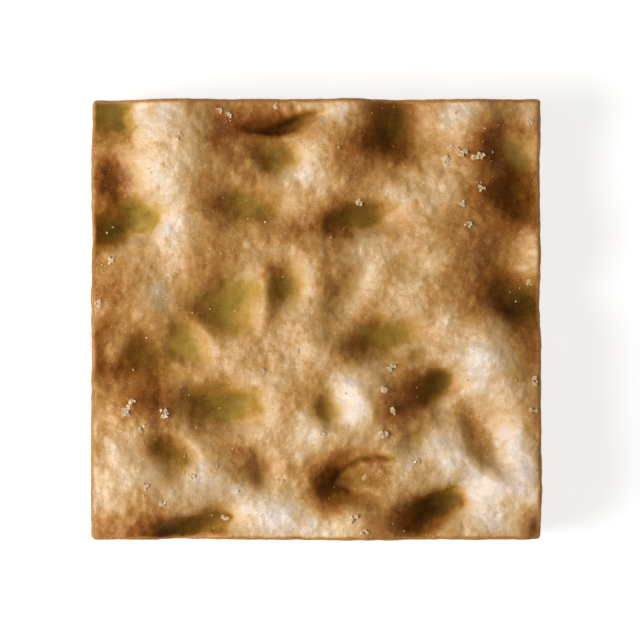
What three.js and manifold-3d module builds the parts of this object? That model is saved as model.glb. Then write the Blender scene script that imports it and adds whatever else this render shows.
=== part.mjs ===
// A square focaccia baked in a tin: one dimpled loaf with straight crust sides, a flat base
// and coarse salt crystals baked onto its top.
// Millimetres, +Z up. The origin is the middle of the flat base; +Y is the far side of the loaf.
import * as THREE from "three";
import { mergeVertices } from "three/addons/utils/BufferGeometryUtils.js";
import Module from "manifold-3d";

// Driving dimensions of the loaf
const WIDTH = 150; // along X, across the top
const DEPTH = 147; // along Y, across the top
const CROWN = 25; // height of the dough that is neither pressed down nor puffed up
const CORNER_RADIUS = 1.5; // upright edges, from the tin's corners
const RIM_RADIUS = 1; // rounding where the top turns into the sides
const RIM_LIP = 1.4; // width along the rim over which the top runs level
const BASE_RADIUS = 3; // rounding where the sides turn into the base
const TIN_LEAN = 2; // degrees that the tin's walls lean outwards

// Fineness of the faceted surface
const TOP_STEP = 2.8; // spacing of the top's grid
const RIM_INSETS = [0, 0.5]; // further grid lines that follow the rim's rounding
const WALL_ROWS = 3;

// Finger dimples, as read from the loaf: centre, full length and width, turn of the length
// from +X in degrees, and depth. The mouth is soft, so a dimple reaches a little past its size.
const dimple = (x, y, length, width, turn, depth) => ({ x, y, length, width, turn, depth });
const DIMPLES = [
  dimple(-71, 70, 19, 14, 15, 6.5),
  dimple(-66, 47, 11, 14, 0, 4),
  dimple(-67.5, 30.2, 15, 10, 20, 7),
  dimple(-60.5, 33.5, 15, 11, 20, 6.5),
  dimple(-10.5, 63.6, 18, 3.8, 10, 5),
  dimple(-14, 55, 12, 11, 0, 4.5),
  dimple(-21.5, 38.5, 20, 9, 8, 5),
  dimple(-11, 10.5, 9, 13, -10, 5.5),
  dimple(-29.5, 4.5, 18, 15, 0, 7),
  dimple(-55, -12, 16, 13, -15, 5.5),
  dimple(-45, -8.5, 12, 12, 0, 7),
  dimple(-66, -11, 17, 16, 0, 4),
  dimple(-32, -29, 21, 12, -5, 7),
  dimple(-48, -45, 12, 9, -40, 4),
  dimple(-18.8, -49.8, 10, 7, -50, 3.5),
  dimple(-43, -69.4, 23, 7.5, 18, 7),
  dimple(26.5, 64.5, 14, 17, 20, 5.5),
  dimple(34.5, 59, 14, 9, 0, 3),
  dimple(66.5, 54, 15, 10, -15, 6),
  dimple(69, 42, 14, 14, 0, 5),
  dimple(15, 33.5, 18, 8.5, 3, 7),
  dimple(31, 18, 11, 8, 20, 2),
  dimple(62, 21, 12, 14, 0, 4),
  dimple(68, 6, 17, 13, -35, 8),
  dimple(9, 9, 9, 14, -20, 3),
  dimple(23, -6, 18, 9, 3, 6),
  dimple(39.8, -22.2, 13, 7.5, 28, 7.5),
  dimple(34, -11.3, 6, 5, 0, 2),
  dimple(56, -40, 18, 10, -57, 4.5),
  dimple(7.3, -55.3, 12, 12, 0, 4.5),
  dimple(14, -59.5, 14, 6, 0, 2.5),
  dimple(15, -53, 14, 9, 0, 0.5),
  dimple(39.5, -62.7, 17, 8.5, 27, 8.5),
  dimple(4, -30, 7, 11, 0, 4.5),
  dimple(33, -40, 8, 6, 0, 2),
  dimple(73, -69, 4, 9, 0, 2.5),
];
const WALL_REACH = 1.3; // how much wider than its size a dimple opens
const WALL_SHARPNESS = 1.8; // above 1, a dimple has a flatter floor and steeper walls
const SKIRT_SHARE = 0.4; // share of the depth that the dough around a dimple sinks by
const SKIRT_REACH = 2.3; // how much wider than the dimple that sunken dough is
const HOLLOW_SHIFT = 1.5; // how far towards +X a hollow lies from the dimple's centre
const JOIN_POWER = 2.5; // neighbouring dimples run together without adding up

// Puffs of risen dough between the dimples: centre, size along X and Y, and height
const puff = (x, y, length, width, height) => ({ x, y, length, width, height });
const PUFFS = [
  puff(-48, 66, 34, 28, 5.5),
  puff(-46, 43, 30, 26, 4.5),
  puff(5, 56, 28, 26, 5.5),
  puff(12, 70, 20, 14, 2.5),
  puff(54, 63, 22, 24, 4.5),
  puff(-57, -50, 34, 30, 4),
  puff(-36, -54, 20, 16, 2),
  puff(20.5, -26, 27, 24, 5.5),
  puff(61, -12, 28, 22, 5),
  puff(68, -37, 16, 26, 3.5),
  puff(62, -58, 24, 22, 3),
  puff(75, -55, 18, 22, 4.5),
  puff(51, -46, 18, 14, 3.5),
  puff(-15, -64, 26, 18, 1.5),
  puff(6, -39, 18, 14, 3),
  puff(14, -68, 26, 18, 4.5),
  puff(-61, 9, 20, 20, 2.5),
  puff(-60, -29, 16, 14, 2.5),
  puff(38, 8, 28, 20, 3),
  puff(-14, -30, 20, 18, 3),
  puff(-18, 3, 9, 14, 3),
  puff(-37, 21, 30, 20, 2),
  puff(40, 30, 30, 26, 2.5),
  puff(76, 18, 14, 16, 2),
  puff(0, 22, 16, 14, 2),
  puff(2, -10, 20, 22, 2.5),
  puff(-65, -9.5, 10, 10, 1.5),
];

// Waves over the top, with a heading, a phase and a push direction in degrees
const wave = (length, heading, phase, height, push = 0) => ({ length, heading, phase, height, push });
// Slow swells of the risen dough
const SWELLS = [wave(71, 25, 130, 0.55), wave(47, 110, 290, 0.5), wave(31, 65, 40, 0.35)];
// Sideways drift of the dough that makes the dimples' outlines and the puffs uneven
const DRIFTS = [wave(43, 20, 0, 1.2, 80), wave(29, 100, 90, 1, 10), wave(19, 50, 30, 0.5, 120)];

// Coarse salt crystals: place and size across
const crystal = (x, y, size) => ({ x, y, size });
const SALT = [
  crystal(-45.5, 60.8, 2.6),
  crystal(-32.3, 69.8, 2),
  crystal(-29.2, 68, 2.2),
  crystal(-68, 19.7, 3),
  crystal(-72.6, 5, 2.6),
  crystal(-63, -30.4, 3.8),
  crystal(-61.3, -27, 2.2),
  crystal(-50, -31, 4),
  crystal(-58, -36.4, 2.6),
  crystal(-56.3, -55.8, 2.2),
  crystal(-51.3, -61, 2.2),
  crystal(-41.5, -52, 2.4),
  crystal(-30.5, -66, 2.6),
  crystal(-12, -53, 2.8),
  crystal(-6, -10.6, 2.4),
  crystal(-17.7, -17.6, 2),
  crystal(-6.3, 60.3, 1.8),
  crystal(-13.2, 71.2, 2.2),
  crystal(14.4, 39.2, 2.4),
  crystal(48.3, 55.8, 3.8),
  crystal(43.5, 53.3, 3.4),
  crystal(53.8, 54.2, 4),
  crystal(55, 43.8, 2.4),
  crystal(44.8, 57.2, 2),
  crystal(50.6, 31.7, 2.4),
  crystal(48.8, 38.5, 2),
  crystal(71.3, 65.8, 2.2),
  crystal(71, 12.4, 2.2),
  crystal(25, -15.6, 2.8),
  crystal(22.8, -23.4, 2.6),
  crystal(26, -30.3, 3),
  crystal(22.5, -38.2, 3),
  crystal(12, -66.2, 3.2),
  crystal(15.8, -70.8, 2.4),
  crystal(72.6, -20.3, 2.8),
  crystal(72.4, -30.4, 2.4),
  crystal(16.2, -52.7, 1.8),
  crystal(33.8, -47.2, 2.2),
  crystal(2, -38, 2),
  crystal(62, -62, 2),
];
const SALT_SUNK = 0.3; // share of its height that a crystal sits in the crust
const SALT_FLATNESS = 0.72; // height of a crystal against its width
const SALT_NARROWEST = 0.85; // the least that a crystal is stretched sideways
const SALT_STRETCH = 0.3; // by up to this much more, at random
const SALT_SEED = 11;

const HALF_WIDTH = WIDTH / 2;
const HALF_DEPTH = DEPTH / 2;
const radians = THREE.MathUtils.degToRad;
const random = THREE.MathUtils.seededRandom;

function waveAt(w, x, y) {
  const travel = (x * Math.cos(radians(w.heading)) + y * Math.sin(radians(w.heading))) / w.length;
  return w.height * Math.sin(2 * Math.PI * travel + radians(w.phase));
}

function swelling(x, y) {
  return SWELLS.reduce((height, w) => height + waveAt(w, x, y), 0);
}

// Where the dough at a point would lie if it had not drifted
function undrifted(x, y) {
  let fromX = x;
  let fromY = y;
  for (const w of DRIFTS) {
    fromX += waveAt(w, x, y) * Math.cos(radians(w.push));
    fromY += waveAt(w, x, y) * Math.sin(radians(w.push));
  }
  return [fromX, fromY];
}

// A dimple with its middle where the dough there lay before it drifted, so that it shows at its place
function settled(d) {
  const [x, y] = undrifted(d.x, d.y);
  return { ...d, x, y };
}

// Squared distance from a dimple's middle, 1 at its stated size times the widening
function dimpleReach(d, x, y, widening) {
  const turn = radians(d.turn);
  const dx = x - d.x - HOLLOW_SHIFT;
  const dy = y - d.y;
  const along = (dx * Math.cos(turn) + dy * Math.sin(turn)) / (d.length / 2);
  const across = (dy * Math.cos(turn) - dx * Math.sin(turn)) / (d.width / 2);
  return (along ** 2 + across ** 2) / widening ** 2;
}

const SETTLED_DIMPLES = DIMPLES.map(settled);

// How far the dough is pressed down by the fingers at a point
function hollow(x, y) {
  let joined = 0;
  for (const d of SETTLED_DIMPLES) {
    const pressed = Math.exp(-(dimpleReach(d, x, y, WALL_REACH) ** WALL_SHARPNESS));
    const sunk = Math.exp(-dimpleReach(d, x, y, SKIRT_REACH));
    const depth = d.depth * ((1 - SKIRT_SHARE) * pressed + SKIRT_SHARE * sunk);
    joined += depth ** JOIN_POWER;
  }
  return joined ** (1 / JOIN_POWER);
}

// How far the dough has puffed up at a point
function rise(x, y) {
  let height = 0;
  for (const p of PUFFS) {
    const along = (x - p.x) / (p.length / 2);
    const across = (y - p.y) / (p.width / 2);
    height += p.height * Math.exp(-(along ** 2 + across ** 2));
  }
  return height;
}

// How far the rim's rounding lowers the top at a distance from the loaf's edge
function rimDrop(inset) {
  const share = Math.max(0, 1 - inset / RIM_RADIUS);
  return RIM_RADIUS * (1 - Math.sqrt(1 - share ** 2));
}

// Height of the top, which runs level across the lip along the rim
function topHeight(gridX, gridY) {
  const inset = Math.min(HALF_WIDTH - Math.abs(gridX), HALF_DEPTH - Math.abs(gridY));
  const lipX = THREE.MathUtils.clamp(gridX, RIM_LIP - HALF_WIDTH, HALF_WIDTH - RIM_LIP);
  const lipY = THREE.MathUtils.clamp(gridY, RIM_LIP - HALF_DEPTH, HALF_DEPTH - RIM_LIP);
  const [x, y] = undrifted(lipX, lipY);
  return CROWN + swelling(lipX, lipY) + rise(x, y) - hollow(x, y) - rimDrop(inset);
}

// Grid lines along one axis: evenly spaced, with closer ones along the rim
function gridLines(half) {
  const inner = half - RIM_RADIUS;
  const cells = Math.round((2 * inner) / TOP_STEP);
  const even = Array.from({ length: cells + 1 }, (_, i) => -inner + (2 * inner * i) / cells);
  const rim = RIM_INSETS.map((inset) => half - inset);
  return [...rim.map((v) => -v), ...even, ...rim.reverse()];
}

// How much a wall stands in from the loaf's full width at a height
function wallInset(z) {
  const lean = Math.tan(radians(TIN_LEAN)) * (CROWN - z);
  const rounding = BASE_RADIUS - Math.sqrt(BASE_RADIUS ** 2 - Math.max(0, BASE_RADIUS - z) ** 2);
  return lean + rounding;
}

// A point of the square grid as it lies in the tin, with rounded corners and leaning sides
function inTin(gridX, gridY, z) {
  const pastX = Math.max(0, Math.abs(gridX) - (HALF_WIDTH - CORNER_RADIUS));
  const pastY = Math.max(0, Math.abs(gridY) - (HALF_DEPTH - CORNER_RADIUS));
  const pull = 1 - Math.max(pastX, pastY) / (Math.hypot(pastX, pastY) || 1);
  const x = gridX - Math.sign(gridX) * pastX * pull;
  const y = gridY - Math.sign(gridY) * pastY * pull;
  return [x * (1 - wallInset(z) / HALF_WIDTH), y * (1 - wallInset(z) / HALF_DEPTH), z];
}

// The grid's border, once round, anticlockwise from above
function borderOf(lastX, lastY) {
  const alongX = Array.from({ length: lastX }, (_, i) => i);
  const alongY = Array.from({ length: lastY }, (_, j) => j);
  return [
    ...alongX.map((i) => [i, 0]),
    ...alongY.map((j) => [lastX, j]),
    ...alongX.map((i) => [lastX - i, lastY]),
    ...alongY.map((j) => [0, lastY - j]),
  ];
}

// Heights of the wall's rows below a point of the rim, down to the base
function wallHeights(rim) {
  const heights = [];
  for (let row = 1; row <= WALL_ROWS; row++) {
    heights.push(rim + ((BASE_RADIUS - rim) * row) / WALL_ROWS);
  }
  return [...heights, BASE_RADIUS * (1 - Math.SQRT1_2), 0];
}

// The loaf without its salt: a relief grid for the top, rows of wall below its border, and the base
function loafGeometry() {
  const xs = gridLines(HALF_WIDTH);
  const ys = gridLines(HALF_DEPTH);
  const points = [];
  const triangles = [];
  const addPoint = (point) => points.push(point) - 1;
  const addQuad = (a, b, c, d) => triangles.push(a, b, c, a, c, d);

  const top = ys.map((y) => xs.map((x) => addPoint(inTin(x, y, topHeight(x, y)))));
  for (let j = 0; j + 1 < ys.length; j++) {
    for (let i = 0; i + 1 < xs.length; i++) {
      addQuad(top[j][i], top[j][i + 1], top[j + 1][i + 1], top[j + 1][i]);
    }
  }

  const columns = borderOf(xs.length - 1, ys.length - 1).map(([i, j]) => [
    top[j][i],
    ...wallHeights(topHeight(xs[i], ys[j])).map((z) => addPoint(inTin(xs[i], ys[j], z))),
  ]);
  const middle = addPoint([0, 0, 0]);
  columns.forEach((column, k) => {
    const next = columns[(k + 1) % columns.length];
    for (let row = 0; row + 1 < column.length; row++) {
      addQuad(column[row], column[row + 1], next[row + 1], next[row]);
    }
    triangles.push(middle, next.at(-1), column.at(-1));
  });

  const geometry = new THREE.BufferGeometry();
  geometry.setAttribute("position", new THREE.Float32BufferAttribute(points.flat(), 3));
  geometry.setIndex(triangles);
  return geometry;
}

// A chunky crystal, turned at random and sunk a little into the crust
function crystalGeometry(grain) {
  const stretch = () => SALT_NARROWEST + SALT_STRETCH * random();
  const geometry = new THREE.IcosahedronGeometry(grain.size / 2, 0);
  geometry.scale(stretch(), stretch(), 1);
  geometry.rotateX(Math.PI * random());
  geometry.rotateY(Math.PI * random());
  geometry.scale(1, 1, SALT_FLATNESS);
  geometry.rotateZ(Math.PI * random());
  const lift = grain.size * SALT_FLATNESS * (0.5 - SALT_SUNK);
  geometry.translate(grain.x, grain.y, topHeight(grain.x, grain.y) + lift);
  return geometry;
}

const wasm = await Module();
wasm.setup();

function solidOf(geometry) {
  const bare = geometry.clone();
  bare.deleteAttribute("normal");
  bare.deleteAttribute("uv");
  const merged = mergeVertices(bare);
  return new wasm.Manifold(
    new wasm.Mesh({
      numProp: 3,
      vertProperties: merged.attributes.position.array,
      triVerts: new Uint32Array(merged.index.array),
    }),
  );
}

function geometryOf(solid) {
  const mesh = solid.getMesh();
  const geometry = new THREE.BufferGeometry();
  geometry.setAttribute("position", new THREE.BufferAttribute(mesh.vertProperties, 3));
  geometry.setIndex(new THREE.BufferAttribute(mesh.triVerts, 1));
  geometry.computeVertexNormals();
  return geometry;
}

function saltedLoaf() {
  random(SALT_SEED);
  const loaf = solidOf(loafGeometry());
  return geometryOf(SALT.reduce((solid, grain) => solid.add(solidOf(crystalGeometry(grain))), loaf));
}

const crust = new THREE.MeshStandardMaterial({ color: 0xd2a467, roughness: 0.55, metalness: 0 });
const focaccia = new THREE.Mesh(saltedLoaf(), crust);
focaccia.name = "focaccia";

const part = new THREE.Group();
part.add(focaccia);

export default part;
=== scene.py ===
"""A square tin-baked focaccia with coarse salt, seen from straight above on a pale floor.

The bread's large forms follow the part: the same dimples, puffs and waves in millimetres. Fine crust
relief, browning, oil and salt are added here. Lengths are millimetres until a mesh is made, and metres
after that.
"""
import itertools
import math

import bpy
import numpy as np
from mathutils import Matrix, Vector


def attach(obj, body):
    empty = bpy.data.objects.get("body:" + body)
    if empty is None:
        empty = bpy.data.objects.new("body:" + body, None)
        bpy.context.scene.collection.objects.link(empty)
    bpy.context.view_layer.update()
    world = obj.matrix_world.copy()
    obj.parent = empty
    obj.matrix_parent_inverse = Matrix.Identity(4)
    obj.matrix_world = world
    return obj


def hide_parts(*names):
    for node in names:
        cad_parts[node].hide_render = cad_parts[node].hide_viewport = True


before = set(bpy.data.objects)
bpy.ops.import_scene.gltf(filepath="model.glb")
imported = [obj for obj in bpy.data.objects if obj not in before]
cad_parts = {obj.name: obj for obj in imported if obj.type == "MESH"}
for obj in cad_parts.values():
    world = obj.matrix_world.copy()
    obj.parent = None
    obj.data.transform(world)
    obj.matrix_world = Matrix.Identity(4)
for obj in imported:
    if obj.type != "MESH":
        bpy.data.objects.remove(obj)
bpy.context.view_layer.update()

MM = 0.001

# The loaf's driving dimensions, as in the part
WIDTH = 150.0
DEPTH = 147.0
CROWN = 25.0
CORNER_RADIUS = 1.5
RIM_RADIUS = 1.0
RIM_LIP = 1.4
BASE_RADIUS = 3.0
TIN_LEAN = 2.0
HALF = np.array([WIDTH / 2, DEPTH / 2])

# Fineness of the crust's mesh, and what counts as no distance at all
TOP_STEP = 0.64
RIM_STEPS = 4
WALL_ROWS = 34
BASE_RINGS = 4
NEAR_ZERO = 1e-9

# Finger dimples: x, y, length, width, turn in degrees, depth, and from 0 to about 1.2 how oily, how dark
# their shaded end is painted (painted shade, with some darker crust) and how crisply ended they are
DIMPLES = [
    (-71, 70, 19, 14, 15, 6.5, 1.0, 0.8, 0.8),
    (-66, 47, 11, 14, 0, 4, 0.1, 0.75, 0.0),
    (-67.5, 30.2, 15, 10, 20, 7, 1.0, 1.1, 0.0),
    (-60.5, 33.5, 15, 11, 20, 6.5, 1.0, 0.1, 1.0),
    (-10.5, 63.6, 18, 3.8, 10, 5, 0.7, 1.1, 0.3),
    (-14, 55, 12, 11, 0, 4.5, 0.8, 0.55, 0.3),
    (-21.5, 38.5, 20, 9, 8, 5, 0.8, 0.35, 0.0),
    (-11, 10.5, 9, 13, -10, 5.5, 0.9, 0.35, 0.0),
    (-29.5, 4.5, 18, 15, 0, 7, 1.0, 0.15, 0.0),
    (-55, -12, 16, 13, -15, 5.5, 0.7, 0.75, 0.0),
    (-45, -8.5, 12, 12, 0, 7, 1.0, 0.05, 0.0),
    (-66, -11, 17, 16, 0, 4, 0.1, 0.2, 0.0),
    (-32, -29, 21, 12, -5, 7, 1.0, 0.4, 0.5),
    (-48, -45, 12, 9, -40, 4, 0.6, 0.85, 0.0),
    (-18.8, -49.8, 10, 7, -50, 3.5, 0.2, 0.45, 0.0),
    (-43, -69.4, 23, 7.5, 18, 7, 0.9, 1.1, 0.6),
    (26.5, 64.5, 14, 17, 20, 5.5, 0.75, 1.0, 0.0),
    (34.5, 59, 14, 9, 0, 3, 0.35, 0.5, 0.0),
    (66.5, 54, 15, 10, -15, 6, 0.7, 0.2, 0.0),
    (69, 42, 14, 14, 0, 5, 0.3, 0.6, 0.0),
    (15, 33.5, 18, 8.5, 3, 7, 0.85, 0.75, 0.5),
    (31, 18, 11, 8, 20, 2, 0.2, 0.1, 0.0),
    (62, 21, 12, 14, 0, 4, 0.2, 0.2, 0.0),
    (68, 6, 17, 13, -35, 8, 0.8, 1.1, 0.3),
    (9, 9, 9, 14, -20, 3, 0.2, 0.2, 0.0),
    (23, -6, 18, 9, 3, 6, 0.9, 0.4, 0.3),
    (39.8, -22.2, 13, 7.5, 28, 7.5, 0.9, 0.75, 0.6),
    (34, -11.3, 6, 5, 0, 2, 0.3, 0.3, 0.0),
    (56, -40, 18, 10, -57, 4.5, 0.0, 0.25, 0.0),
    (7.3, -55.3, 12, 12, 0, 4.5, 0.4, 1.0, 0.0),
    (14, -59.5, 14, 6, 0, 2.5, 0.4, 0.6, 0.0),
    (15, -53, 14, 9, 0, 0.5, 0.6, 0.6, 0.0),
    (39.5, -62.7, 17, 8.5, 27, 8.5, 0.9, 1.2, 0.6),
    (4, -30, 7, 11, 0, 4.5, 0.7, 0.35, 0.0),
    (33, -40, 8, 6, 0, 2, 0.4, 0.1, 0.0),
    (73, -69, 4, 9, 0, 2.5, 0.0, 0.6, 0.0),
]

# Shape of a dimple: reach and sharpness of its walls, share and reach of the dip round it, how far it lies
# past its mark along X, and how sharply neighbours join
WALL_REACH = 1.3
WALL_SHARPNESS = 1.8
SKIRT_SHARE = 0.4
SKIRT_REACH = 2.3
HOLLOW_SHIFT = 1.5
JOIN_POWER = 2.5

# Marks that dimples leave: how ragged and bent their edges are, with the width from which the bend is
# full, where along a dimple its tail starts and is full, how the tail grows, how soft and how crisp the
# edges are, how far oil, the painted shade of their dark ends and the painted shade halo beside them
# reach, and the oil of a crease
RAGGEDNESS = 0.25
MARK_BEND = 2.0
FULL_BEND_WIDTH = 10.0
TAIL_SPAN = (0.4, -1.0)
TAIL_LENGTHENING = 0.6
TAIL_WIDENING = 0.3
SOFT_EDGE = 1.2
CRISP_EDGE = 2.2
OIL_REACH = 1.3
DARK_REACH = 1.5
DARK_SOFTNESS = 0.8
HALO_SHADE_REACH = 2.2
HALO_SHADE_SHIFT = -5.0
CREASE_OIL = 0.7

# Creases between puffs: x, y, length, width, turn in degrees, depth
CREASES = [
    (22, -46.3, 7, 2.0, 5, 0.5),
    (16.8, -46.9, 6, 2.2, 12, 0.7),
    (12.4, -48.9, 6, 2.2, 38, 0.9),
    (9, -51.4, 6, 2.4, 45, 1.0),
    (6.7, -54, 6, 3.4, 80, 1.0),
    (9.6, -55.9, 7, 2.4, -20, 0.7),
    (-10.5, 63.8, 17, 2.6, 14, 0.5),
]

# Puffs of risen dough: x, y, size along X and Y, height
PUFFS = [
    (-48, 66, 34, 28, 5.5),
    (-46, 43, 30, 26, 4.5),
    (5, 56, 28, 26, 5.5),
    (12, 70, 20, 14, 2.5),
    (54, 63, 22, 24, 4.5),
    (-57, -50, 34, 30, 4),
    (-36, -54, 20, 16, 2),
    (20.5, -26, 27, 24, 5.5),
    (61, -12, 28, 22, 5),
    (68, -37, 16, 26, 3.5),
    (62, -58, 24, 22, 3),
    (75, -55, 18, 22, 4.5),
    (51, -46, 18, 14, 3.5),
    (-15, -64, 26, 18, 1.5),
    (6, -39, 18, 14, 3),
    (14, -68, 26, 18, 4.5),
    (-61, 9, 20, 20, 2.5),
    (-60, -29, 16, 14, 2.5),
    (38, 8, 28, 20, 3),
    (-14, -30, 20, 18, 3),
    (-18, 3, 9, 14, 3),
    (-37, 21, 30, 20, 2),
    (40, 30, 30, 26, 2.5),
    (76, 18, 14, 16, 2),
    (0, 22, 16, 14, 2),
    (2, -10, 20, 22, 2.5),
    (-65, -9.5, 10, 10, 1.5),
]

# Waves: length, heading and phase in degrees, height, push direction in degrees
SWELLS = [(71, 25, 130, 0.55, 0), (47, 110, 290, 0.5, 0), (31, 65, 40, 0.35, 0)]
DRIFTS = [(43, 20, 0, 1.2, 80), (29, 100, 90, 1.0, 10), (19, 50, 30, 0.5, 120)]

# Patches of the crust: x, y, length, width, turn in degrees, strength (below 0 paler). Above 0 they are
# partly real browning and partly painted shade on slopes turned from the key light; below 0 partly paler
# crust and partly painted highlight where the key light's sheen falls
BROWNING_SHADE_AND_HIGHLIGHT = [
    (-28, 64, 18, 20, 0, 0.28),
    (-10, 57, 8, 10, 0, 0.15),
    (-64.5, 47.5, 14, 17, 0, 0.3),
    (-68.5, 8.5, 14, 18, 0, 0.38),
    (-57, -27, 14, 12, 0, 0.5),
    (-66, -32, 16, 16, 0, 0.3),
    (-60, -69, 30, 12, 0, 0.42),
    (-42, -72.5, 26, 6, 0, 0.35),
    (-55, -18, 18, 9, 0, 0.2),
    (15, 53, 22, 16, 0, 0.1),
    (36.5, 67, 13, 14, 0, 0.45),
    (12, 67, 14, 14, 0, -0.2),
    (55, 47, 14, 28, 0, 0.25),
    (67, 31, 12, 20, 0, 0.4),
    (58.5, 58, 18, 10, 70, 0.4),
    (48.5, 58, 12, 12, 0, 0.55),
    (66, 44, 20, 20, 0, 0.3),
    (72, 47, 10, 14, 0, 0.25),
    (-16, 66.5, 14, 9, 0, 0.6),
    (-56, 57.5, 20, 8, 0, 0.2),
    (32, -28, 15, 13, 30, 0.25),
    (52, -37, 10, 16, 0, 0.08),
    (70, -6, 14, 20, 0, 0.32),
    (62, 12, 18, 10, -40, 0.1),
    (61, -2, 12, 12, 0, -0.4),
    (45, 48, 12, 12, 0, -0.15),
    (5.5, -56.5, 14, 14, 0, 0.55),
    (14, -46, 22, 7, 8, 0.3),
    (22, -49.5, 9, 10, 0, 0.42),
    (11, -59, 12, 9, 0, 0.25),
    (8, -67, 14, 9, 0, 0.25),
    (-10, -51.5, 16, 14, 0, 0.4),
    (30, -44, 9, 15, 0, -0.25),
    (29, -60.5, 8, 10, 0, -0.2),
    (44, -66.5, 14, 9, 25, 0.35),
    (59, -69, 14, 8, 0, -0.3),
    (-16, 48.5, 9, 7, 0, -0.25),
    (66.5, -12, 9, 8, 0, -0.35),
    (68.5, 62, 9, 9, 0, 0.35),
    (-53.5, -48, 9, 8, 0, -0.3),
    (-71, -47, 9, 12, 0, 0.22),
    (-1.5, 62.5, 10, 8, 10, 0.35),
    (27, -68, 15, 14, 0, 0.28),
    (-19, -49, 12, 10, 0, 0.08),
    (15, -53, 18, 13, 0, 0.45),
    (-37, 20, 26, 16, 0, 0.12),
    (-15, 27, 22, 14, 0, 0.12),
    (38, 28, 26, 22, 0, 0.1),
    (0, -60, 160, 36, 0, -0.27),
    (-54, 5, 14, 12, 0, -0.42),
    (-42, 58, 12, 22, 0, -0.33),
    (-56, 67, 18, 22, 0, -0.34),
    (-54, 46, 15, 24, 0, -0.2),
    (-64.5, -9, 9, 9, 0, -0.35),
    (-66, -16, 16, 7, 0, 0.4),
    (-73, -11, 6, 14, 0, 0.35),
    (-58.5, -9, 6, 12, 0, 0.2),
    (-47, 29, 12, 14, 0, -0.35),
    (-5, 50, 16, 14, 0, -0.3),
    (8, 70, 14, 10, 0, -0.35),
    (45, 66, 20, 16, 0, -0.4),
    (72, 19, 8, 14, 0, -0.24),
    (-61, -42, 22, 20, 0, -0.26),
    (-38, -58, 24, 18, 0, -0.22),
    (12, -25, 14, 16, 0, -0.45),
    (53, -13, 18, 18, 0, -0.42),
    (67.5, -41, 11, 18, 30, -0.36),
    (55, -57, 20, 16, 0, -0.42),
    (45, -44, 20, 18, 0, -0.3),
    (70, -56, 14, 18, 0, -0.16),
    (0, -38, 14, 12, 0, -0.22),
    (-5, -64, 30, 20, 0, -0.3),
]

# Browning with painted shade and light, 0 pale to 1 dark: levels of bare crust, oiled floors, sides and
# rim, and what each cause adds; the slope, dark-end and halo terms and the patches are partly painted shade
# and light
CRUST_BAKE = 0.37
OILED_BAKE = 0.43
SIDE_BAKE = 0.56
RIM_BAKE = 0.6
PATCH_BAKE_SHADE_AND_HIGHLIGHT = 0.66
SLOPE_SHADE_AND_LIGHT = 0.18
DARK_SHADE_AND_BAKE = 0.36
OILED_DARK_SHADE_AND_BAKE = 0.44
HALO_SHADE_AND_BAKE = 0.12
MOTTLE_BAKE = 0.12
OILED_MOTTLE_BAKE = 0.1
FOOT_BAKE = 0.34
EDGE_BAKE = 0.14
WRINKLE_BAKE = 0.16

# Painted shade and light: slopes that face +X, away from the key light, are darker and those that face
# -X, towards it, are paler: how soon, and how far either way
SLOPE_SHADE_GAIN = 2.0
SLOPE_SHADE_LIMITS = (-0.5, 1.0)

# How far up from the foot and down from the edge the sides are browned, as shares of their height
FOOT_REACH = 0.45
EDGE_REACH = 0.3

# Distances from the edge between which oil and fine relief set in and the browned rim ends
OIL_INSETS = (0.8, 1.6)
RELIEF_INSETS = (0.2, 2.0)
RIM_INSETS = (1.4, 0.8)
RIM_RAGGEDNESS = 0.3

# Noise of the dough: feature size, seed, layers, and the strength of each finer layer beside the last
RAGGED_NOISE = (8.0, 61, 4, 0.6)
BEND_NOISES = ((12.0, 101, 3, 0.5), (12.0, 111, 3, 0.5))
MOTTLE_NOISE = (14.0, 21, 4, 0.6)
SKIN_NOISE = (9.0, 31, 5, 0.55)
LUMP_NOISE = (5.0, 131, 3, 0.5)
RIM_NOISE = (6.0, 141, 3, 0.5)
BUBBLE_NOISES = ((5.0, 71, 2, 0.5), (5.0, 81, 2, 0.5))
POCKET_NOISE = (4.0, 121, 2, 0.5)
BULGE_NOISE = (26.0, 43, 2, 0.5)
WRINKLE_NOISE = (15.0, 91, 4, 0.55)

# Cells after which noise repeats, and what brings it to about -1 to 1
NOISE_LATTICE = 32
NOISE_SPAN = 1.6

# Fine relief of the top, and the share of relief that the oil film evens out
SKIN_HEIGHT = 0.25
LUMP_HEIGHT = 0.2
OIL_CALM = 0.8

# Bubbles of the crust: how many, smallest and largest radius, rise for each millimetre of radius, tone
BUBBLES = [
    (150, 3.5, 8.0, 0.1, 0.14),
    (90, 1.5, 3.6, 0.16, 0.2),
    (1100, 1.2, 3.0, 0.09, 0.2),
    (7000, 0.6, 1.2, 0.2, 0.16),
]
BUBBLE_SEED = 5

# How far noise bends bubbles, the room kept round each for that, their roundness, and how their tones count
BUBBLE_BEND = 0.7
BUBBLE_MARGIN = 1.0
BUBBLE_ROUNDNESS = 1.5
BUBBLE_TONE = 0.5
BUBBLE_TONE_LIMIT = 0.12

# Relief of the sides: bulges, level wrinkles, and pits and pockets by how many, smallest and largest radius
SIDE_SEED = 8
BULGE_HEIGHT = 0.5
BULGE_LEVEL = 0.8
WRINKLE_HEIGHT = 0.6
WRINKLE_STRETCH = np.array([1, 1, 3.0])
PITS = (1800, 0.4, 1.6)
PIT_DEPTH = 0.5
POCKETS = (110, 2.0, 7.0)
POCKET_DEPTH = 0.9
POCKET_BEND = 1.2
POCKET_PALENESS = 0.08
HOLLOW_STEEPNESS = 1.5
SIDE_RELIEF_START = 0.15

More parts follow.
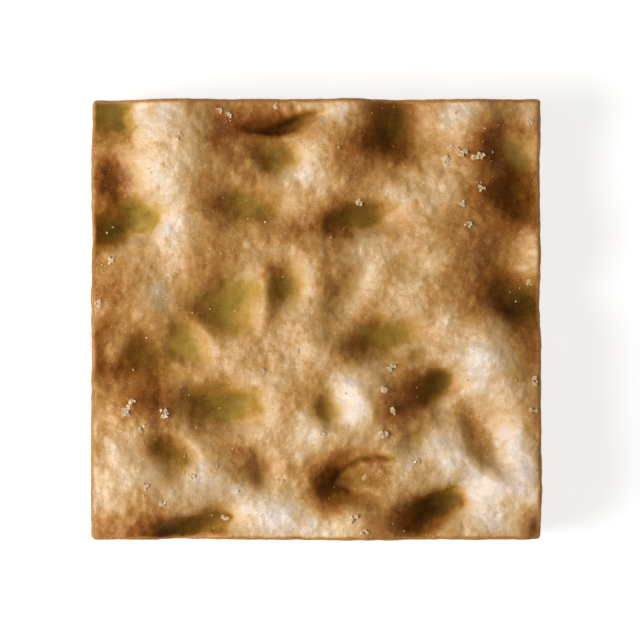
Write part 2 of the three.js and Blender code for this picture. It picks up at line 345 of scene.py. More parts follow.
# Coarse salt crystals: x, y, size across
COARSE_SALT = [
    (-45.5, 60.8, 2.6),
    (-32.3, 69.8, 2.0),
    (-29.2, 68.0, 2.2),
    (-68.0, 19.7, 3.0),
    (-72.6, 5.0, 2.6),
    (-63.0, -30.4, 3.8),
    (-61.3, -27.0, 2.2),
    (-50.0, -31.0, 4.0),
    (-58.0, -36.4, 2.6),
    (-56.3, -55.8, 2.2),
    (-51.3, -61.0, 2.2),
    (-41.5, -52.0, 2.4),
    (-30.5, -66.0, 2.6),
    (-12.0, -53.0, 2.8),
    (-6.0, -10.6, 2.4),
    (-17.7, -17.6, 2.0),
    (-6.3, 60.3, 1.8),
    (-13.2, 71.2, 2.2),
    (14.4, 39.2, 2.4),
    (48.3, 55.8, 3.8),
    (43.5, 53.3, 3.4),
    (53.8, 54.2, 4.0),
    (55.0, 43.8, 2.4),
    (44.8, 57.2, 2.0),
    (50.6, 31.7, 2.4),
    (48.8, 38.5, 2.0),
    (71.3, 65.8, 2.2),
    (71.0, 12.4, 2.2),
    (25.0, -15.6, 2.8),
    (22.8, -23.4, 2.6),
    (26.0, -30.3, 3.0),
    (22.5, -38.2, 3.0),
    (12.0, -66.2, 3.2),
    (15.8, -70.8, 2.4),
    (72.6, -20.3, 2.8),
    (72.4, -30.4, 2.4),
    (16.2, -52.7, 1.8),
    (33.8, -47.2, 2.2),
    (2.0, -38.0, 2.0),
    (62.0, -62.0, 2.0),
]

# Each coarse crystal is a clump: how many, their sizes as shares of its size, spread and frosting
CLUMP_COUNT = 7
CLUMP_SHARES = (0.28, 0.55)
CLUMP_SPREAD = 0.4
CLUMP_FROSTS = (0.5, 1.0)
FINE_SALT_COUNT = 260
FINE_SALT_SIZES = (0.3, 0.8)
FINE_SALT_FROST = 0.2
SALT_SUNK = 0.35
SALT_SEED = 11

# Shape of one crystal: length, narrowest and widest, height, and how far its corners and faces stray
SALT_LENGTH = 0.8
SALT_WIDTHS = (0.55, 0.8)
SALT_FLATNESS = 0.6
CORNER_SHAKE = 0.35
SUNKEN_FACE = 0.85
SALT_TILT = 0.2

# Colours of crust, oil film and salt by tone, as display values
CRUST_TONES = [
    (0.0, (230, 211, 192)),
    (0.22, (222, 184, 133)),
    (0.45, (203, 149, 79)),
    (0.7, (167, 101, 38)),
    (1.0, (108, 57, 13)),
]
FILM_TONES = [
    (0.25, (196, 168, 76)),
    (0.45, (168, 137, 54)),
    (0.7, (122, 95, 31)),
    (1.0, (68, 46, 13)),
]
SALT_TONES = [(0.1, (228, 190, 138)), (0.9, (253, 233, 204))]
SPECK_COLOUR = (246, 214, 164)
TIN_COLOUR = (150, 112, 70)
TIN_DULLING = 0.2
FILM_COVER = 0.95

# Grain of the materials: feature size, detail, roughness
GRAIN = (2.4, 6, 0.65)
FINE_GRAIN = (0.7, 3, 0.6)
BLOTCHES = (14.0, 6, 0.6)
SKIN_GRAIN = (1.3, 6, 0.7)
SALT_CLOUDS = (0.8, 3, 0.55)
GRAIN_TONE = 0.25
BLOTCH_TONE = 1.2

# Pale specks, partly pale blister tops and partly painted glints: cell size, share of cells left bare,
# reach, how they show on pale crust, how much browning and the tin hide them, and their height in the bump
SPECK_CELL = 1.0
SPECK_BARE_SHARE = 0.6
SPECK_REACH = 0.4
SPECK_SHOWING = 0.8
SPECK_BROWNING_LOSS = 0.75
SPECK_TIN_LOSS = 0.8
SPECK_HEIGHT = 0.4

# Gloss: roughness of dry crust, what grain adds and oil takes off, and how far browning dulls the coat
DRY_ROUGHNESS = 0.5
GRAIN_ROUGHNESS = 0.4
OIL_SMOOTHING = 0.1
BROWNING_DULLNESS = 0.95


# Large forms of the loaf


def wave_at(wave, x, y):
    length, heading, phase, height, _ = wave
    turn = math.radians(heading)
    travel = (x * math.cos(turn) + y * math.sin(turn)) / length
    return height * np.sin(2 * math.pi * travel + math.radians(phase))


def swelling(x, y):
    return sum(wave_at(wave, x, y) for wave in SWELLS)


def undrifted(x, y):
    """Where the dough at a point would lie if it had not drifted."""
    from_x = x
    from_y = y
    for wave in DRIFTS:
        push = math.radians(wave[4])
        from_x = from_x + wave_at(wave, x, y) * math.cos(push)
        from_y = from_y + wave_at(wave, x, y) * math.sin(push)
    return from_x, from_y


def settled(oval):
    """The oval with its middle where that dough lay before it drifted, so that it shows at its place."""
    return (*undrifted(oval[0], oval[1]), *oval[2:])


def oval_axes(oval, x, y, shift=0.0):
    """Place along and across a turned oval, 1 at its edge. The oval may be shifted along X."""
    centre_x, centre_y, length, width, turn_degrees = oval[:5]
    turn = math.radians(turn_degrees)
    dx = x - centre_x - shift
    dy = y - centre_y
    along = (dx * math.cos(turn) + dy * math.sin(turn)) / (length / 2)
    across = (dy * math.cos(turn) - dx * math.sin(turn)) / (width / 2)
    return along, across


def oval_reach(oval, x, y, widening=1.0, shift=0.0):
    """Squared distance from the middle of a turned oval, 1 at its edge times the widening."""
    along, across = oval_axes(oval, x, y, shift)
    return (along**2 + across**2) / widening**2


def hollow(x, y):
    """How far the dough is pressed down by the fingers."""
    joined = 0
    for dimple in map(settled, DIMPLES):
        pressed = np.exp(-(oval_reach(dimple, x, y, WALL_REACH, HOLLOW_SHIFT) ** WALL_SHARPNESS))
        sunk = np.exp(-oval_reach(dimple, x, y, SKIRT_REACH, HOLLOW_SHIFT))
        depth = dimple[5] * ((1 - SKIRT_SHARE) * pressed + SKIRT_SHARE * sunk)
        joined = joined + depth**JOIN_POWER
    return joined ** (1 / JOIN_POWER)


def rise(x, y):
    """How far the dough has puffed up."""
    return sum(puff[4] * np.exp(-oval_reach((*puff[:4], 0), x, y)) for puff in PUFFS)


def rim_drop(inset):
    share = np.clip(1 - inset / RIM_RADIUS, 0, 1)
    return RIM_RADIUS * (1 - np.sqrt(1 - share**2))


def edge_inset(x, y):
    return np.minimum(HALF[0] - np.abs(x), HALF[1] - np.abs(y))


def top_height(grid_x, grid_y):
    """Height of the top, which runs level across the lip that the tin's edge leaves."""
    lip_x = np.clip(grid_x, RIM_LIP - HALF[0], HALF[0] - RIM_LIP)
    lip_y = np.clip(grid_y, RIM_LIP - HALF[1], HALF[1] - RIM_LIP)
    x, y = undrifted(lip_x, lip_y)
    dough = CROWN + swelling(lip_x, lip_y) + rise(x, y) - hollow(x, y)
    return dough - rim_drop(edge_inset(grid_x, grid_y))


def in_tin(grid_x, grid_y, z):
    """Points of the square grid as they lie in the tin, with rounded corners and leaning sides."""
    past_x = np.maximum(0, np.abs(grid_x) - (HALF[0] - CORNER_RADIUS))
    past_y = np.maximum(0, np.abs(grid_y) - (HALF[1] - CORNER_RADIUS))
    reach = np.maximum(np.hypot(past_x, past_y), NEAR_ZERO)
    pull = np.where(reach > NEAR_ZERO, 1 - np.maximum(past_x, past_y) / reach, 0)
    lean = math.tan(math.radians(TIN_LEAN)) * (CROWN - z)
    rounding = BASE_RADIUS - np.sqrt(BASE_RADIUS**2 - np.maximum(0, BASE_RADIUS - z) ** 2)
    x = grid_x - np.sign(grid_x) * past_x * pull
    y = grid_y - np.sign(grid_y) * past_y * pull
    inset = lean + rounding
    return np.stack([x * (1 - inset / HALF[0]), y * (1 - inset / HALF[1]), z], axis=-1)


def grid_lines(half):
    inner = half - RIM_RADIUS
    cells = round(2 * inner / TOP_STEP)
    even = np.linspace(-inner, inner, cells + 1)
    angles = np.linspace(0, math.pi / 2, RIM_STEPS + 1)[:-1]
    rim = half - RIM_RADIUS * (1 - np.cos(angles))
    return np.concatenate([-rim, even, rim[::-1]])


def border_of(rows, columns):
    """Indices of the grid's border, once round, anticlockwise from above."""
    index = np.arange(rows * columns).reshape(rows, columns)
    return np.concatenate([index[0, :-1], index[:-1, -1], index[-1, :0:-1], index[:0:-1, 0]])


def loaf_surface():
    """The loaf's points, faces and grid: a relief grid on top, rows of wall, and rings of base."""
    xs = grid_lines(HALF[0])
    ys = grid_lines(HALF[1])
    grid_x, grid_y = np.meshgrid(xs, ys)
    heights = top_height(grid_x, grid_y)
    top = in_tin(grid_x, grid_y, heights).reshape(-1, 3)
    index = np.arange(grid_x.size).reshape(grid_x.shape)
    corners = [index[:-1, :-1], index[:-1, 1:], index[1:, 1:], index[1:, :-1]]
    faces = np.stack(corners, axis=-1).reshape(-1, 4)

    border = border_of(*grid_x.shape)
    border_x = grid_x.ravel()[border]
    border_y = grid_y.ravel()[border]
    rim = heights.ravel()[border]
    straight = [rim + (BASE_RADIUS - rim) * row / WALL_ROWS for row in range(1, WALL_ROWS + 1)]
    turns = np.linspace(0, math.pi / 2, RIM_STEPS + 1)[1:]
    rounded = [np.full_like(rim, BASE_RADIUS * (1 - math.sin(turn))) for turn in turns]
    walls = [in_tin(border_x, border_y, level) for level in straight + rounded]
    shares = np.linspace(1, 0, BASE_RINGS + 1)[1:-1]
    rings = [walls[-1] * np.array([share, share, 1]) for share in shares]
    middle = np.zeros((1, 3))

    points = np.concatenate([top, *walls, *rings, middle])
    count = len(border)
    lower_loops = [len(top) + k * count + np.arange(count) for k in range(len(walls) + len(rings))]
    loops = [border] + lower_loops
    strips = [
        np.stack([upper, lower, np.roll(lower, -1), np.roll(upper, -1)], axis=-1)
        for upper, lower in zip(loops[:-1], loops[1:])
    ]
    fan = np.stack([np.full(count, len(points) - 1), np.roll(loops[-1], -1), loops[-1]], axis=-1)
    quads = np.concatenate([faces, *strips])
    return points, quads.tolist() + fan.tolist(), xs, ys


# Seeded noise and fine relief


def gradient_noise(points, cell, seed):
    """Smooth seeded noise from about -1 to 1, with features about one cell across."""
    gradients = np.random.default_rng(seed).normal(size=(NOISE_LATTICE,) * 3 + (3,))
    gradients /= np.linalg.norm(gradients, axis=-1, keepdims=True)
    place = points / cell
    corner = np.floor(place).astype(int)
    within = place - corner
    ease = within**3 * (within * (within * 6 - 15) + 10)
    total = np.zeros(len(points))
    for offset in itertools.product((0, 1), repeat=3):
        at = (corner + offset) % NOISE_LATTICE
        slope = gradients[at[:, 0], at[:, 1], at[:, 2]]
        weight = np.prod(np.where(offset, ease, 1 - ease), axis=1)
        total += weight * np.sum(slope * (within - offset), axis=1)
    return total * NOISE_SPAN


def layered_noise(points, cell, seed, layers, gain):
    return sum(gain**k * gradient_noise(points, cell / 2**k, seed + k) for k in range(layers))


def bubbles(xs, ys):
    """Baked bubbles of the top on its grid: how far each point is raised, and how much darker it baked."""
    rng = np.random.default_rng(BUBBLE_SEED)
    grid_x, grid_y = np.meshgrid(xs, ys)
    flat = np.stack([grid_x.ravel(), grid_y.ravel(), np.zeros(grid_x.size)], axis=-1)
    bend_x, bend_y = (layered_noise(flat, *noise).reshape(grid_x.shape) for noise in BUBBLE_NOISES)
    bent_x = grid_x + BUBBLE_BEND * bend_x
    bent_y = grid_y + BUBBLE_BEND * bend_y
    raised = np.zeros_like(grid_x)
    toned = np.zeros_like(grid_x)
    for count, smallest, largest, rise_share, tone_share in BUBBLES:
        layer = np.zeros_like(grid_x)
        places = (rng.random((count, 2)) * 2 - 1) * HALF
        radii = smallest + (largest - smallest) * rng.random(count) ** 2
        tones = tone_share * rng.uniform(-1, 1, count)
        for (x, y), radius, tone in zip(places, radii, tones):
            around = radius + BUBBLE_MARGIN
            columns = slice(*np.searchsorted(xs, (x - around, x + around)))
            rows = slice(*np.searchsorted(ys, (y - around, y + around)))
            spread = (bent_x[rows, columns] - x) ** 2 + (bent_y[rows, columns] - y) ** 2
            dome = np.clip(1 - spread / radius**2, 0, 1)
            domed = rise_share * radius * dome**BUBBLE_ROUNDNESS
            layer[rows, columns] = np.maximum(layer[rows, columns], domed)
            toned[rows, columns] += tone * dome
        raised += layer
    return raised.ravel(), np.clip(BUBBLE_TONE * toned, -BUBBLE_TONE_LIMIT, BUBBLE_TONE_LIMIT).ravel()


def side_hollows(points, rng, count, smallest, largest):
    """How deep each point of the sides lies in a hollow, 0 to 1."""
    radii = smallest + (largest - smallest) * rng.random(count) ** 3
    sunk = np.zeros(len(points))
    for radius, centre in zip(radii, points[rng.integers(0, len(points), count)]):
        near = np.flatnonzero(np.abs(points[:, 0] - centre[0]) < radius)
        spread = np.sum((points[near] - centre) ** 2, axis=1) / radius**2
        sunk[near] = np.maximum(sunk[near], np.clip(HOLLOW_STEEPNESS * (1 - spread), 0, 1))
    return sunk


# Scene pieces


def new_mesh_object(name, points, faces):
    mesh = bpy.data.meshes.new(name)
    mesh.from_pydata((points * MM).tolist(), [], faces)
    mesh.update()
    piece = bpy.data.objects.new(name, mesh)
    bpy.context.scene.collection.objects.link(piece)
    return piece


def set_point_values(piece, name, values):
    attribute = piece.data.attributes.new(name, "FLOAT", "POINT")
    attribute.data.foreach_set("value", np.asarray(values, np.float32))


def point_normals(piece):
    normals = np.zeros(len(piece.data.vertices) * 3, np.float32)
    piece.data.vertex_normals.foreach_get("vector", normals)
    return normals.reshape(-1, 3).astype(float)


def smoothstep(low, high, value):
    share = np.clip((value - low) / (high - low), 0, 1)
    return share * share * (3 - 2 * share)


def pressed_marks(points, x, y):
    """Per point: oil on the dimples' floors and creases, painted shade on their dark ends and creases, and
    a painted shade halo beside them.
    """
    ragged = (1 + RAGGEDNESS * layered_noise(points, *RAGGED_NOISE)) ** 2
    oil = np.zeros(len(points))
    dark = np.zeros(len(points))
    halo_shade = np.zeros(len(points))
    for crease in map(settled, CREASES):
        fold = np.exp(-oval_reach(crease, x, y) * ragged)
        oil = np.maximum(oil, CREASE_OIL * fold)
        # Painted shade darkening the creases
        dark = np.maximum(dark, fold)
    bend_x, bend_y = (MARK_BEND * layered_noise(points, *noise) for noise in BEND_NOISES)
    for dimple in map(settled, DIMPLES):
        oily, end_shade, crisp = dimple[6:]
        middle = np.argmin((x - dimple[0]) ** 2 + (y - dimple[1]) ** 2)
        give = min(1, dimple[3] / FULL_BEND_WIDTH)
        bent_x = x + give * (bend_x - bend_x[middle])
        bent_y = y + give * (bend_y - bend_y[middle])
        along, across = oval_axes(dimple, bent_x, bent_y)
        tail = smoothstep(*TAIL_SPAN, along)
        crispness = SOFT_EDGE + CRISP_EDGE * crisp * (1 - tail)
        reach = (along**2 + across**2) * ragged
        oil = np.maximum(oil, oily * np.exp(-((reach / OIL_REACH) ** crispness)))
        drawn_along = along / (1 + TAIL_LENGTHENING * tail)
        drawn_across = across / (1 + TAIL_WIDENING * tail)
        drawn = (drawn_along**2 + drawn_across**2) * ragged
        # Painted shade darkening each dimple's shaded end, with some darker crust
        dark = np.maximum(dark, end_shade * np.exp(-((drawn / DARK_REACH) ** (DARK_SOFTNESS * crispness))))
        # Painted shade halo beside each dimple, on its -X side where the slope turns from the key light,
        # with some browning
        beside = oval_reach(dimple, bent_x, bent_y, HALO_SHADE_REACH, HALO_SHADE_SHIFT)
        halo_shade = np.maximum(halo_shade, end_shade * np.exp(-beside))
    return oil, dark, halo_shade


def top_browning_and_shade(points, normals, x, y, oil, dark, halo_shade):
    """How far the top's crust is browned, with painted shade and painted highlight added, 0 pale to 1 dark.
    """
    # Partly real browning, partly painted shade and painted highlight
    patches = sum(patch[5] * np.exp(-oval_reach(patch, x, y)) for patch in BROWNING_SHADE_AND_HIGHLIGHT)
    # Painted shade on slopes turned from the key light, painted light on slopes that face it
    slope_shade = np.clip(normals[:, 0] * SLOPE_SHADE_GAIN, *SLOPE_SHADE_LIMITS)
    mottle = layered_noise(points, *MOTTLE_NOISE)
    crust = CRUST_BAKE + PATCH_BAKE_SHADE_AND_HIGHLIGHT * patches + SLOPE_SHADE_AND_LIGHT * slope_shade
    crust = crust + DARK_SHADE_AND_BAKE * dark + HALO_SHADE_AND_BAKE * halo_shade + MOTTLE_BAKE * mottle
    # The oiled floors also carry the painted shade of the dark ends
    floor = OILED_BAKE + OILED_DARK_SHADE_AND_BAKE * dark + OILED_MOTTLE_BAKE * mottle
    return crust + (floor - crust) * oil


def side_browning(points, below_rim, wrinkles):
    """How far the sides and the base are browned: most along the rim, round the foot and on wrinkles."""
    foot = smoothstep(FOOT_REACH, 0, points[:, 2] / CROWN)
    edge = smoothstep(EDGE_REACH, 0, below_rim)
    wrinkled = WRINKLE_BAKE * wrinkles * smoothstep(0, BASE_RADIUS, points[:, 2])
    return SIDE_BAKE + FOOT_BAKE * foot + EDGE_BAKE * edge + wrinkled


def wall_shares(count, border_length):
    """How far down the wall each point below the rim lies, 1 from its foot on."""
    shares = np.ones(count)
    rows = np.arange(1, WALL_ROWS + 1) / WALL_ROWS
    shares[: WALL_ROWS * border_length] = np.repeat(rows, border_length)
    return shares


def side_relief(side, below_rim):
    """How far the sides and the base are pushed out, with their wrinkles and pockets."""
    rng = np.random.default_rng(SIDE_SEED)
    pits = side_hollows(side, rng, *PITS)
    bent = side + POCKET_BEND * layered_noise(side, *POCKET_NOISE)[:, None]
    pockets = side_hollows(bent, rng, *POCKETS)
    bulge = layered_noise(side, *BULGE_NOISE)
    wrinkles = layered_noise(side * WRINKLE_STRETCH, *WRINKLE_NOISE)
    pushed = BULGE_HEIGHT * (bulge - BULGE_LEVEL) + WRINKLE_HEIGHT * wrinkles
    pushed = pushed - PIT_DEPTH * pits - POCKET_DEPTH * pockets
    below_edge = smoothstep(0, SIDE_RELIEF_START, below_rim)
    above_base = smoothstep(0, BASE_RADIUS, side[:, 2])
    return pushed * below_edge * above_base, wrinkles, pockets


def make_bread():
    """The bread with its point values, and the finished points of its top as a grid."""
    points, faces, xs, ys = loaf_surface()
    bread = new_mesh_object("bread", points, faces)
    normals = point_normals(bread)
    grid_x, grid_y = np.meshgrid(xs, ys)
    top = slice(0, grid_x.size)
    wall = slice(grid_x.size, None)
    inset = edge_inset(grid_x, grid_y).ravel()
    x, y = undrifted(points[top, 0], points[top, 1])
    side = points[wall]
    below_rim = wall_shares(len(side), len(border_of(*grid_x.shape)))

    oil, dark, halo_shade = pressed_marks(points[top], x, y)
    oil *= smoothstep(*OIL_INSETS, inset)
    raised, toned = bubbles(xs, ys)
    skin = SKIN_HEIGHT * layered_noise(points[top], *SKIN_NOISE)
    creased = sum(crease[5] * np.exp(-oval_reach(crease, x, y)) for crease in map(settled, CREASES))
    pushed, wrinkles, pockets = side_relief(side, below_rim)
    amount = LUMP_HEIGHT * layered_noise(points, *LUMP_NOISE) * (points[:, 2] > BASE_RADIUS)
    amount[top] += ((skin + raised) * (1 - OIL_CALM * oil) - creased) * smoothstep(*RELIEF_INSETS, inset)
    amount[wall] += pushed
    moved = points + normals * amount[:, None]
    moved[:, 2] = np.maximum(moved[:, 2], 0)
    bread.data.vertices.foreach_set("co", (moved * MM).astype(np.float32).ravel())
    bread.data.update()

    # The painted shade and light on slopes follows the dough halfway between the large forms and the
    # finished relief
    normals = (normals + point_normals(bread)) / 2
    rim = smoothstep(*RIM_INSETS, inset + RIM_RAGGEDNESS * layered_noise(points[top], *RIM_NOISE))
    crust = top_browning_and_shade(points[top], normals[top], x, y, oil, dark, halo_shade) + toned * (1 - oil)
    bake_and_shade = np.zeros(len(points))
    bake_and_shade[top] = crust * (1 - rim) + RIM_BAKE * rim
    bake_and_shade[wall] = side_browning(side, below_rim, wrinkles) - POCKET_PALENESS * pockets
    oiled = np.zeros(len(points))
    oiled[top] = oil
    tinned = np.ones(len(points))
    tinned[top] = 0
    set_point_values(bread, "bake_and_shade", np.clip(bake_and_shade, 0, 1))
    set_point_values(bread, "oil", oiled)
    set_point_values(bread, "tinned", tinned)
    bread.data.shade_smooth()
    return bread, moved[top].reshape(*grid_x.shape, 3)


FLOOR_REACH = 3000.0


def make_floor():
    corners = np.array([(-1, -1, 0), (1, -1, 0), (1, 1, 0), (-1, 1, 0)], float)
    return new_mesh_object("floor", FLOOR_REACH * corners, [(0, 1, 2, 3)])


# Materials

# Sockets of a mix node's factor and two colours, and of its mixed colour
MIX_INPUTS = (0, 6, 7)
MIX_OUTPUT = 2


def new_material(name):
    material = bpy.data.materials.new(name)
    material.use_nodes = True
    tree = material.node_tree
    return material, tree, tree.nodes["Principled BSDF"]


def srgb(red, green, blue):
    """A colour named by its 0 to 255 display values, as linear light."""
    share = np.array([red, green, blue]) / 255
    linear = np.where(share <= 0.04045, share / 12.92, ((share + 0.055) / 1.055) ** 2.4)
    return (*linear.tolist(), 1.0)


def add_node(tree, kind, **settings):
    node = tree.nodes.new(kind)
    for name, value in settings.items():
        setattr(node, name, value)
    return node


def set_input(node, name, value):
    node.inputs[name].default_value = value


def feed(tree, socket, value):
    """Sets a socket to a constant, or links it to another node's output."""
    if isinstance(value, (int, float, tuple)):
        socket.default_value = value
    else:
        tree.links.new(value, socket)


def math_node(tree, operation, first, second, clamp=False):
    node = add_node(tree, "ShaderNodeMath", operation=operation, use_clamp=clamp)
    feed(tree, node.inputs[0], first)
    feed(tree, node.inputs[1], second)
    return node.outputs[0]


def scaled(tree, value, scale):
    return math_node(tree, "MULTIPLY", value, scale)


def ramp_node(tree, factor, stops):
    node = add_node(tree, "ShaderNodeValToRGB")
    elements = node.color_ramp.elements
    while len(elements) < len(stops):
        elements.new(0.5)
    for element, (position, colour) in zip(elements, stops):
        element.position = position
        element.color = colour
    tree.links.new(factor, node.inputs["Fac"])
    return node.outputs["Color"]


def tone_ramp(tree, factor, tones):
    return ramp_node(tree, factor, [(position, srgb(*colour)) for position, colour in tones])


def mix_node(tree, factor, first, second):
    node = add_node(tree, "ShaderNodeMix", data_type="RGBA")
    for at, value in zip(MIX_INPUTS, (factor, first, second)):
        feed(tree, node.inputs[at], value)
    return node.outputs[MIX_OUTPUT]


def noise_node(tree, place, feature_mm, detail, roughness):
    node = add_node(tree, "ShaderNodeTexNoise")
    tree.links.new(place, node.inputs["Vector"])
    set_input(node, "Scale", 1 / (feature_mm * MM))
    set_input(node, "Detail", detail)
    set_input(node, "Roughness", roughness)
    return node.outputs[0]


def swing_node(tree, place, noise):
    """Noise that swings about 0."""
    return math_node(tree, "SUBTRACT", noise_node(tree, place, *noise), 0.5)


def cell_node(tree, place, cell_mm):
    node = add_node(tree, "ShaderNodeTexVoronoi")
    tree.links.new(place, node.inputs["Vector"])
    set_input(node, "Scale", 1 / (cell_mm * MM))
    return node.outputs["Distance"], node.outputs["Color"]


def attribute_node(tree, name):
    node = add_node(tree, "ShaderNodeAttribute", attribute_name=name)
    return node.outputs["Fac"]


def speck_node(tree, place, tinned):
    """Round pale specks in some of the cells, partly painted glints, fewer where the tin held the crust."""
    distance, cell_colour = cell_node(tree, place, SPECK_CELL)
    chosen = math_node(tree, "GREATER_THAN", cell_colour, SPECK_BARE_SHARE)
    dome = math_node(tree, "SUBTRACT", 1, math_node(tree, "DIVIDE", distance, SPECK_REACH), clamp=True)
    bare = math_node(tree, "SUBTRACT", 1, scaled(tree, tinned, SPECK_TIN_LOSS))
    return math_node(tree, "MULTIPLY", math_node(tree, "MULTIPLY", dome, chosen), bare)


def crust_material():
    material, tree, shader = new_material("crust")
    place = add_node(tree, "ShaderNodeTexCoord").outputs["Object"]
    bake_and_shade = attribute_node(tree, "bake_and_shade")
    oil = attribute_node(tree, "oil")
    tinned = attribute_node(tree, "tinned")

    grain = swing_node(tree, place, GRAIN)
    fine = swing_node(tree, place, FINE_GRAIN)
    unevenness = math_node(tree, "ADD", scaled(tree, grain, GRAIN_TONE), scaled(tree, fine, GRAIN_TONE))
    mottle = swing_node(tree, place, BLOTCHES)
    blotches = math_node(tree, "MULTIPLY", scaled(tree, mottle, BLOTCH_TONE), tinned)
    tone = math_node(tree, "ADD", math_node(tree, "ADD", bake_and_shade, blotches), unevenness, clamp=True)
    crust = tone_ramp(tree, tone, CRUST_TONES)
    film = tone_ramp(tree, tone, FILM_TONES)
    speck = speck_node(tree, place, tinned)
    hidden = scaled(tree, bake_and_shade, SPECK_BROWNING_LOSS)
    showing = math_node(tree, "SUBTRACT", SPECK_SHOWING, hidden, clamp=True)
    # Pale specks, partly blister tops and partly painted glints
    specked = mix_node(tree, math_node(tree, "MULTIPLY", speck, showing), crust, srgb(*SPECK_COLOUR))
    soaking = math_node(tree, "MULTIPLY", oil, FILM_COVER, clamp=True)
    soaked = mix_node(tree, soaking, specked, film)
    dulled = mix_node(tree, scaled(tree, tinned, TIN_DULLING), soaked, srgb(*TIN_COLOUR))
    tree.links.new(dulled, shader.inputs["Base Color"])

    dry = math_node(tree, "ADD", DRY_ROUGHNESS, scaled(tree, grain, GRAIN_ROUGHNESS))
    roughness = math_node(tree, "SUBTRACT", dry, scaled(tree, oil, OIL_SMOOTHING))
    tree.links.new(roughness, shader.inputs["Roughness"])
    set_input(shader, "Specular IOR Level", 0.05)
    gloss = math_node(tree, "SUBTRACT", 1, scaled(tree, tone, BROWNING_DULLNESS))
    tree.links.new(math_node(tree, "SUBTRACT", gloss, oil, clamp=True), shader.inputs["Coat Weight"])
    set_input(shader, "Coat Roughness", 0.3)
    set_input(shader, "Coat IOR", 1.6)

    rough = noise_node(tree, place, *SKIN_GRAIN)
    height = math_node(tree, "ADD", rough, scaled(tree, speck, SPECK_HEIGHT))
    calm = math_node(tree, "SUBTRACT", 1, scaled(tree, oil, OIL_CALM))
    bump = add_node(tree, "ShaderNodeBump")
    set_input(bump, "Strength", 0.5)
    set_input(bump, "Distance", 0.6 * MM)
    tree.links.new(math_node(tree, "MULTIPLY", height, calm), bump.inputs["Height"])
    tree.links.new(bump.outputs["Normal"], shader.inputs["Normal"])
    tree.links.new(bump.outputs["Normal"], shader.inputs["Coat Normal"])
    return material


def salt_material():
    """Cloudy crystals that are crust-coloured on their faces and frosted white along their edges."""
    material, tree, shader = new_material("salt")
    place = add_node(tree, "ShaderNodeTexCoord").outputs["Object"]
    cloud = swing_node(tree, place, SALT_CLOUDS)
    frost = math_node(tree, "ADD", attribute_node(tree, "frost"), cloud, clamp=True)
    tree.links.new(tone_ramp(tree, frost, SALT_TONES), shader.inputs["Base Color"])
    set_input(shader, "Roughness", 0.25)
    set_input(shader, "Specular IOR Level", 0.3)
    set_input(shader, "Subsurface Weight", 0.5)
    set_input(shader, "Subsurface Radius", (1.0, 0.9, 0.8))
    set_input(shader, "Subsurface Scale", 0.4 * MM)
    return material


def floor_material():
    material, _, shader = new_material("floor")
    set_input(shader, "Base Color", (0.45, 0.45, 0.45, 1))
    set_input(shader, "Roughness", 0.9)
    set_input(shader, "Emission Color", (1, 1, 1, 1))
    set_input(shader, "Emission Strength", 0.75)
    return material


# Salt


def surface_lookup(top):
    """A function that gives the finished top's point nearest to a place."""
    flat = top.reshape(-1, 3)

    def lookup(x, y):
        return flat[np.argmin((flat[:, 0] - x) ** 2 + (flat[:, 1] - y) ** 2)]

    return lookup


def crystal_lattice():
    """A cube's surface as 26 points from -1 to 1 and 24 faces."""
    points = [point for point in itertools.product((-1, 0, 1), repeat=3) if any(point)]
    faces = []
    for axis, side in itertools.product(range(3), (-1, 1)):
        for u, v in itertools.product((-1, 0), repeat=2):
            ring = [(u, v), (u + 1, v), (u + 1, v + 1), (u, v + 1)][::side]
            faces.append([points.index(tuple(np.roll((side, *spot), axis).tolist())) for spot in ring])
    return np.array(points, float), np.array(faces)


def make_crystal(lattice, centre, size, rng):
    """Points of one chipped, blocky crystal with sunken faces, turned and tilted a little."""
    corners = np.array(list(itertools.product((-1, 1), repeat=3)), float)
    shaken = corners + rng.uniform(-CORNER_SHAKE, CORNER_SHAKE, corners.shape)
    weights = np.prod((1 + lattice[:, None] * corners[None]) / 2, axis=2)
    sunken = np.where(np.sum(lattice == 0, axis=1) == 2, SUNKEN_FACE, 1.0)
    body = weights @ shaken * sunken[:, None]
    body *= size / 2 * np.array([SALT_LENGTH, rng.uniform(*SALT_WIDTHS), SALT_FLATNESS])
    roll = Matrix.Rotation(rng.normal(0, SALT_TILT), 3, "X")
    tilt = roll @ Matrix.Rotation(rng.normal(0, SALT_TILT), 3, "Y")
    turn = Matrix.Rotation(2 * math.pi * rng.random(), 3, "Z") @ tilt
    return centre + body @ np.array(turn).T


def make_salt(top):
    rng = np.random.default_rng(SALT_SEED)
    lookup = surface_lookup(top)
    lattice, lattice_faces = crystal_lattice()
    crystals = []
    frosts = []
    frost = 1 - np.sum(lattice == 0, axis=1) / 2

    def strew(x, y, size, frosting):
        lift = size * SALT_FLATNESS * (0.5 - SALT_SUNK)
        crystals.append(make_crystal(lattice, lookup(x, y) + (0, 0, lift), size, rng))
        frosts.append(frost * frosting)

    for x, y, size in COARSE_SALT:
        frosting = rng.uniform(*CLUMP_FROSTS)
        for _ in range(CLUMP_COUNT):
            turn = 2 * math.pi * rng.random()
            apart = CLUMP_SPREAD * size * math.sqrt(rng.random())
            grain_size = size * rng.uniform(*CLUMP_SHARES)
            strew(x + apart * math.cos(turn), y + apart * math.sin(turn), grain_size, frosting)
    smallest, largest = FINE_SALT_SIZES
    for _ in range(FINE_SALT_COUNT):
        x, y = (rng.random(2) * 2 - 1) * (HALF - RIM_LIP)
        strew(x, y, smallest + (largest - smallest) * rng.random() ** 2, FINE_SALT_FROST)
    faces = np.concatenate([lattice_faces + k * len(lattice) for k in range(len(crystals))])
    salt = new_mesh_object("salt", np.concatenate(crystals), faces.tolist())
    set_point_values(salt, "frost", np.concatenate(frosts))
    return salt


# Camera and light

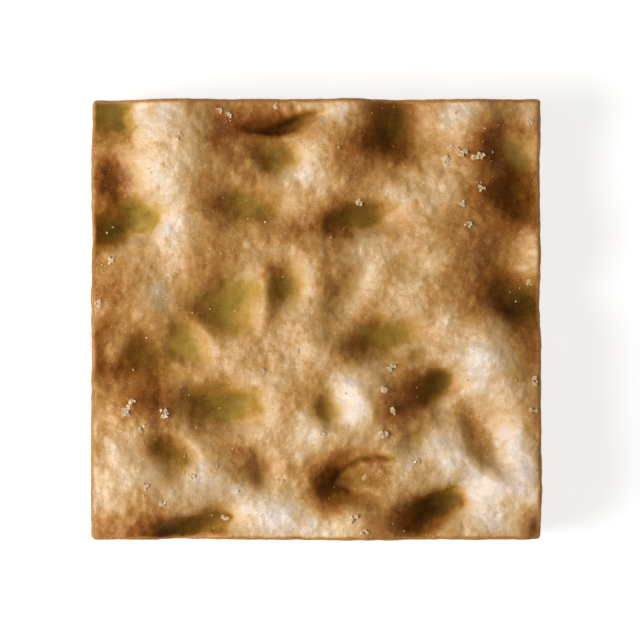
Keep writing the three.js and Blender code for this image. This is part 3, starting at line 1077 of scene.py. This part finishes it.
IMAGE_WIDTH = 640
IMAGE_HEIGHT = 641
LOAF_CENTRE_PX = (316, 319.5)
PX_PER_MM = 3.0
CAMERA_HEIGHT = 2.0
SENSOR = 36.0

# The room's light: its tint, and its level by how steeply one looks up
ROOM_TINT = (1.0, 0.985, 0.93)
ROOM_LEVELS = ((0.35, 0.46), (0.95, 0.1))


def add_camera():
    data = bpy.data.cameras.new("camera")
    camera = bpy.data.objects.new("camera", data)
    bpy.context.scene.collection.objects.link(camera)
    across = (IMAGE_WIDTH / 2 - LOAF_CENTRE_PX[0]) / PX_PER_MM * MM
    up = (LOAF_CENTRE_PX[1] - IMAGE_HEIGHT / 2) / PX_PER_MM * MM
    camera.location = (across, up, CAMERA_HEIGHT)
    data.sensor_width = SENSOR
    data.lens = SENSOR * (CAMERA_HEIGHT - (CROWN - RIM_RADIUS) * MM) / (IMAGE_HEIGHT / PX_PER_MM * MM)
    bpy.context.scene.camera = camera


def add_area_light(name, azimuth, elevation, distance, size, power):
    data = bpy.data.lights.new(name, "AREA")
    data.shape = "DISK"
    data.size = size
    data.energy = power
    light = bpy.data.objects.new(name, data)
    bpy.context.scene.collection.objects.link(light)
    turn = math.radians(azimuth)
    lift = math.radians(elevation)
    level = math.cos(lift)
    direction = Vector((math.cos(turn) * level, math.sin(turn) * level, math.sin(lift)))
    light.location = direction * distance
    light.rotation_euler = direction.to_track_quat("Z", "Y").to_euler()


def add_world():
    """A studio room with a warm tint that is brighter round its walls than overhead."""
    world = bpy.data.worlds.new("studio")
    bpy.context.scene.world = world
    world.use_nodes = True
    tree = world.node_tree
    direction = add_node(tree, "ShaderNodeTexCoord").outputs["Generated"]
    parts = add_node(tree, "ShaderNodeSeparateXYZ")
    tree.links.new(direction, parts.inputs[0])
    stops = []
    for steepness, level in ROOM_LEVELS:
        tint = [level * share for share in ROOM_TINT]
        stops.append((steepness, (*tint, 1)))
    shade = ramp_node(tree, parts.outputs["Z"], stops)
    tree.links.new(shade, tree.nodes["Background"].inputs["Color"])


add_camera()
add_world()
add_area_light("key", azimuth=192, elevation=40, distance=1.2, size=0.7, power=13.7)
bpy.context.scene.view_settings.view_transform = "Standard"

bread, top = make_bread()
bread.data.materials.append(crust_material())
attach(bread, "root")
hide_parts("focaccia")

salt = make_salt(top)
salt.data.materials.append(salt_material())
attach(salt, "root")

floor = make_floor()
floor.data.materials.append(floor_material())
